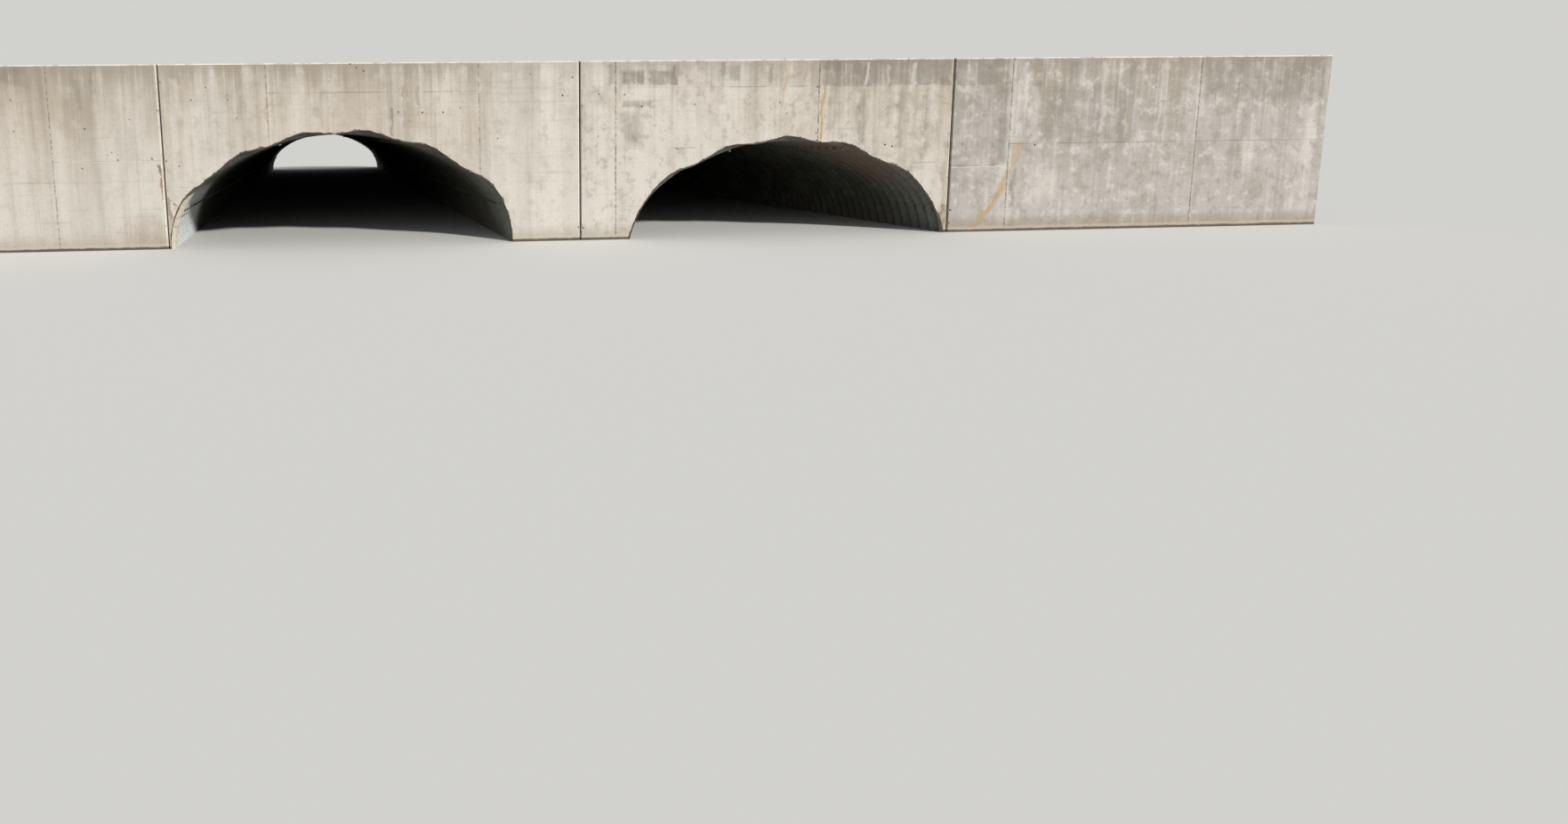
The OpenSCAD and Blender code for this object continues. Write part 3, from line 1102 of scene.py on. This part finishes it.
def make_lumps(barrel):
    """Mortar droppings left on the plates just inside an opening."""
    build = bmesh.new()
    place = barrel_matrix(barrel)
    for k in range(LUMPS):
        turn = random.uniform(-LUMP_TURN, LUMP_TURN)
        depth = LUMP_DEPTH + LUMP_DEEPER * random.random() ** 2
        size = random.uniform(*LUMP_R)
        at = section_point(turn, 0.0)
        along = (depth - at.x * math.sin(SKEW)) / math.cos(SKEW)
        out = wave_height(barrel, along) - PLATE_T / 2
        centre = place @ section_point(turn, out, along)
        if centre.z > LUMP_LOW and centre.y > FACE_Y + 1.3 * size:
            lump(build, centre, size, LUMP_SHAPE, k)
    new_piece(f"{barrel[0]}_opening_droppings", build, MORTAR)


def seam_cutter(build, ends, level):
    """A fine irregular V groove in the face, upright or level, from one end to the other."""
    start, stop, at = ends
    steps = max(2, round((stop - start) / SEAM_STEP))
    rows = []
    for along in spread(start, stop, steps):
        half = SEAM_W / 2 * (1 + 0.5 * rough(along * 9, at, 1.0))
        middle = at + SEAM_SWAY * rough(along * 5, at, 7.0)
        deep = SEAM_W / 2 * (1 + 0.6 * rough(along * 6, at, 3.0))
        row = []
        section = ((middle - half, -SEAM_OUT), (middle + half, -SEAM_OUT), (middle, deep))
        for across, depth in section:
            x, z = (along, across) if level else (across, along)
            row.append(Vector((x, FACE_Y + depth, z)))
        rows.append(row)
    add_tube(build, rows)


def carve(name, cutters):
    """What is left of a node's welded mesh once the cutters are cut out of it."""
    build = bmesh.new()
    build.from_mesh(bpy.data.objects[name].data)
    bmesh.ops.remove_doubles(build, verts=build.verts, dist=WELD)
    target = new_object("target", finish_mesh("target", build))
    for cutter in cutters:
        tool = new_object("cutter", finish_mesh("cutter", cutter))
        carving = target.modifiers.new("carve", "BOOLEAN")
        carving.operation = "DIFFERENCE"
        carving.solver = "EXACT"
        carving.use_self = True
        carving.object = tool
        result = target.evaluated_get(bpy.context.evaluated_depsgraph_get())
        carved = bpy.data.meshes.new_from_object(result)
        target.modifiers.clear()
        target.data = carved
        bpy.data.objects.remove(tool)
    mesh = target.data
    bpy.data.objects.remove(target)
    build = bmesh.new()
    build.from_mesh(mesh)
    return build


def hollow(build, x, z, radius, deep, subdivisions=1):
    """A rounded hollow in the face."""
    made = bmesh.ops.create_icosphere(build, subdivisions=subdivisions, radius=1.0)["verts"]
    centre = Vector((x, FACE_Y - HOLLOW_OUT * deep, z))
    for vert in made:
        swell = 1 + 0.35 * rough(vert.co.x * 1.4 + x * 7, vert.co.y, vert.co.z * 1.4 + z * 7)
        vert.co = centre + vert.co * Vector((radius, deep * (1 + HOLLOW_OUT), radius)) * swell


def plug(build, x, z):
    """The round dent of a filled form-tie hole."""
    turn = Matrix.Translation((x, FACE_Y, z)) @ Matrix.Rotation(math.radians(90), 4, "X")
    bmesh.ops.create_cone(
        build, cap_ends=True, segments=20, radius1=PLUG_R * PLUG_TAPER, radius2=PLUG_R,
        depth=PLUG_DEEP * 2, matrix=turn,
    )


def chips(build, x0, x1):
    """Chips knocked off the top arris and the upright arrises of a bay."""
    for _ in range(CHIPS):
        size = random.uniform(*CHIP_R)
        if random.random() < CHIPS_ON_TOP:
            back = random.choice((0.0, BEVEL))
            x = random.uniform(x0, x1)
            at = Vector((x, FACE_Y + back - size * 0.5, WALL_H - BEVEL + back + size * 0.45))
        else:
            x = random.choice((x0 + BEVEL, x1 - BEVEL))
            z = random.uniform(CHIP_MARGIN, WALL_H - CHIP_MARGIN)
            at = Vector((x, FACE_Y - size * 0.62, z))
        lump(build, at, size, CHIP_SHAPE, random.random() * 9)


def wall_cutters(name):
    """Meshes of the seams, the pits and the chipped edges to cut out of a bay."""
    low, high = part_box(name)
    x0, x1 = low.x, high.x
    seams, pits, edges = bmesh.new(), bmesh.new(), bmesh.new()
    for x in UPRIGHT_SEAMS:
        if x0 < x < x1:
            seam_cutter(seams, (-SEAM_PAST, WALL_H + SEAM_PAST, x), False)
    for start, stop, z in LEVEL_SEAMS:
        if x0 < (start + stop) / 2 < x1:
            ends = max(start, x0 - LEVEL_PAST), min(stop, x1 + LEVEL_PAST), z
            seam_cutter(seams, ends, True)
    for x, z in AIR_HOLES:
        if x0 < x < x1:
            hollow(pits, x, z, random.uniform(*AIR_HOLE_R), AIR_HOLE_DEEP, 2)
    for x, z in TIE_PLUGS:
        if x0 < x < x1:
            plug(pits, x, z)
    for _ in range(round(PITS_A_METRE * (x1 - x0))):
        radius = PIT_R + PIT_MORE * random.random() ** 2
        x = random.uniform(x0 + PIT_MARGIN, x1 - PIT_MARGIN)
        z = random.uniform(PIT_LOW, WALL_H - PIT_MARGIN)
        hollow(pits, x, z, radius, radius)
    chips(edges, x0, x1)
    return [seams, pits, edges]


def make_bay(name, grooves):
    """A bay with all that is cut out of it, in the place of its node."""
    low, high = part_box(name)
    cutters = wall_cutters(name) + [cutter for x, cutter in grooves if low.x < x < high.x]
    new_piece(name + "_cast", carve(name, cutters), CONCRETE, [name])


def make_joint(name):
    """The joint's board, crumbled along its face."""
    low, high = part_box(name)
    crumbs = bmesh.new()
    for k in range(CRUMBS):
        size = random.uniform(*CRUMB_R)
        x, z = random.uniform(low.x, high.x), random.uniform(low.z, high.z)
        lump(crumbs, Vector((x, low.y - size * 0.3, z)), size, CRUMB_SHAPE, k)
    new_piece(name + "_board", carve(name, [crumbs]), FILLER, [name])


GROOVES = []
for barrel in BARRELS:
    for ring in range(1, RINGS + 1):
        make_ring(barrel, ring)
        make_bolts(barrel, ring)
    widths = seal_widths(barrel)
    GROOVES.append((barrel[1], groove_cutter(barrel, widths)))
    make_seal(barrel, widths)
    make_lumps(barrel)
for name in BAYS:
    make_bay(name, GROOVES)
for name in JOINTS:
    make_joint(name)


def seen_rays(nodes, links):
    """1 for rays from the camera, from gloss and through glass, which see the stage's own tone."""
    rays = nodes.new("ShaderNodeLightPath").outputs
    total = rays["Is Camera Ray"]
    for name in ("Is Glossy Ray", "Is Transmission Ray"):
        most = nodes.new("ShaderNodeMath")
        most.operation = "MAXIMUM"
        links.new(total, most.inputs[0])
        links.new(rays[name], most.inputs[1])
        total = most.outputs[0]
    return total


def make_stage():
    """A pale floor; light that bounces off it sees it darker, as the water is."""
    mesh = bpy.data.meshes.new("floor")
    signs = ((-1, -1), (1, -1), (1, 1), (-1, 1))
    mesh.from_pydata([(FLOOR_HALF * x, FLOOR_HALF * y, 0) for x, y in signs], [], [(0, 1, 2, 3)])
    floor = new_object("floor", mesh)
    t = Tree("stage_floor")
    t.colour = t.mix(seen_rays(t.nodes, t.links), FLOOR_BOUNCE, FLOOR_SEEN)
    mesh.materials.append(t.finish(1.0, t.facing()))
    t.shader.inputs["Specular IOR Level"].default_value = 0.0


def make_lights():
    """A sun from the front right and an even sky; what lies behind has the floor's own tone."""
    toward = Vector(SUN_TOWARD).normalized()
    sun = bpy.data.lights.new("key", "SUN")
    sun.energy = SUN
    sun.angle = math.radians(SUN_WIDTH)
    sun.color = SUN_COLOUR
    lamp = new_object("key", sun)
    lamp.rotation_mode = "QUATERNION"
    lamp.rotation_quaternion = toward.to_track_quat("-Z", "Y")

    world = bpy.data.worlds.new("world")
    bpy.context.scene.world = world
    world.use_nodes = True
    nodes, links = world.node_tree.nodes, world.node_tree.links
    tone = [
        floor * (-toward.z * SUN * red / math.pi + SKY * blue)
        for floor, red, blue in zip(FLOOR_SEEN, SUN_COLOUR, SKY_COLOUR)
    ]
    mix = nodes.new("ShaderNodeMix")
    mix.data_type = "RGBA"
    mix.inputs[6].default_value = (*(SKY * c for c in SKY_COLOUR), 1)
    mix.inputs[7].default_value = (*tone, 1)
    links.new(seen_rays(nodes, links), mix.inputs["Factor"])
    links.new(mix.outputs[2], nodes["Background"].inputs["Color"])


make_stage()
make_lights()
bpy.context.scene.view_settings.view_transform = "Standard"
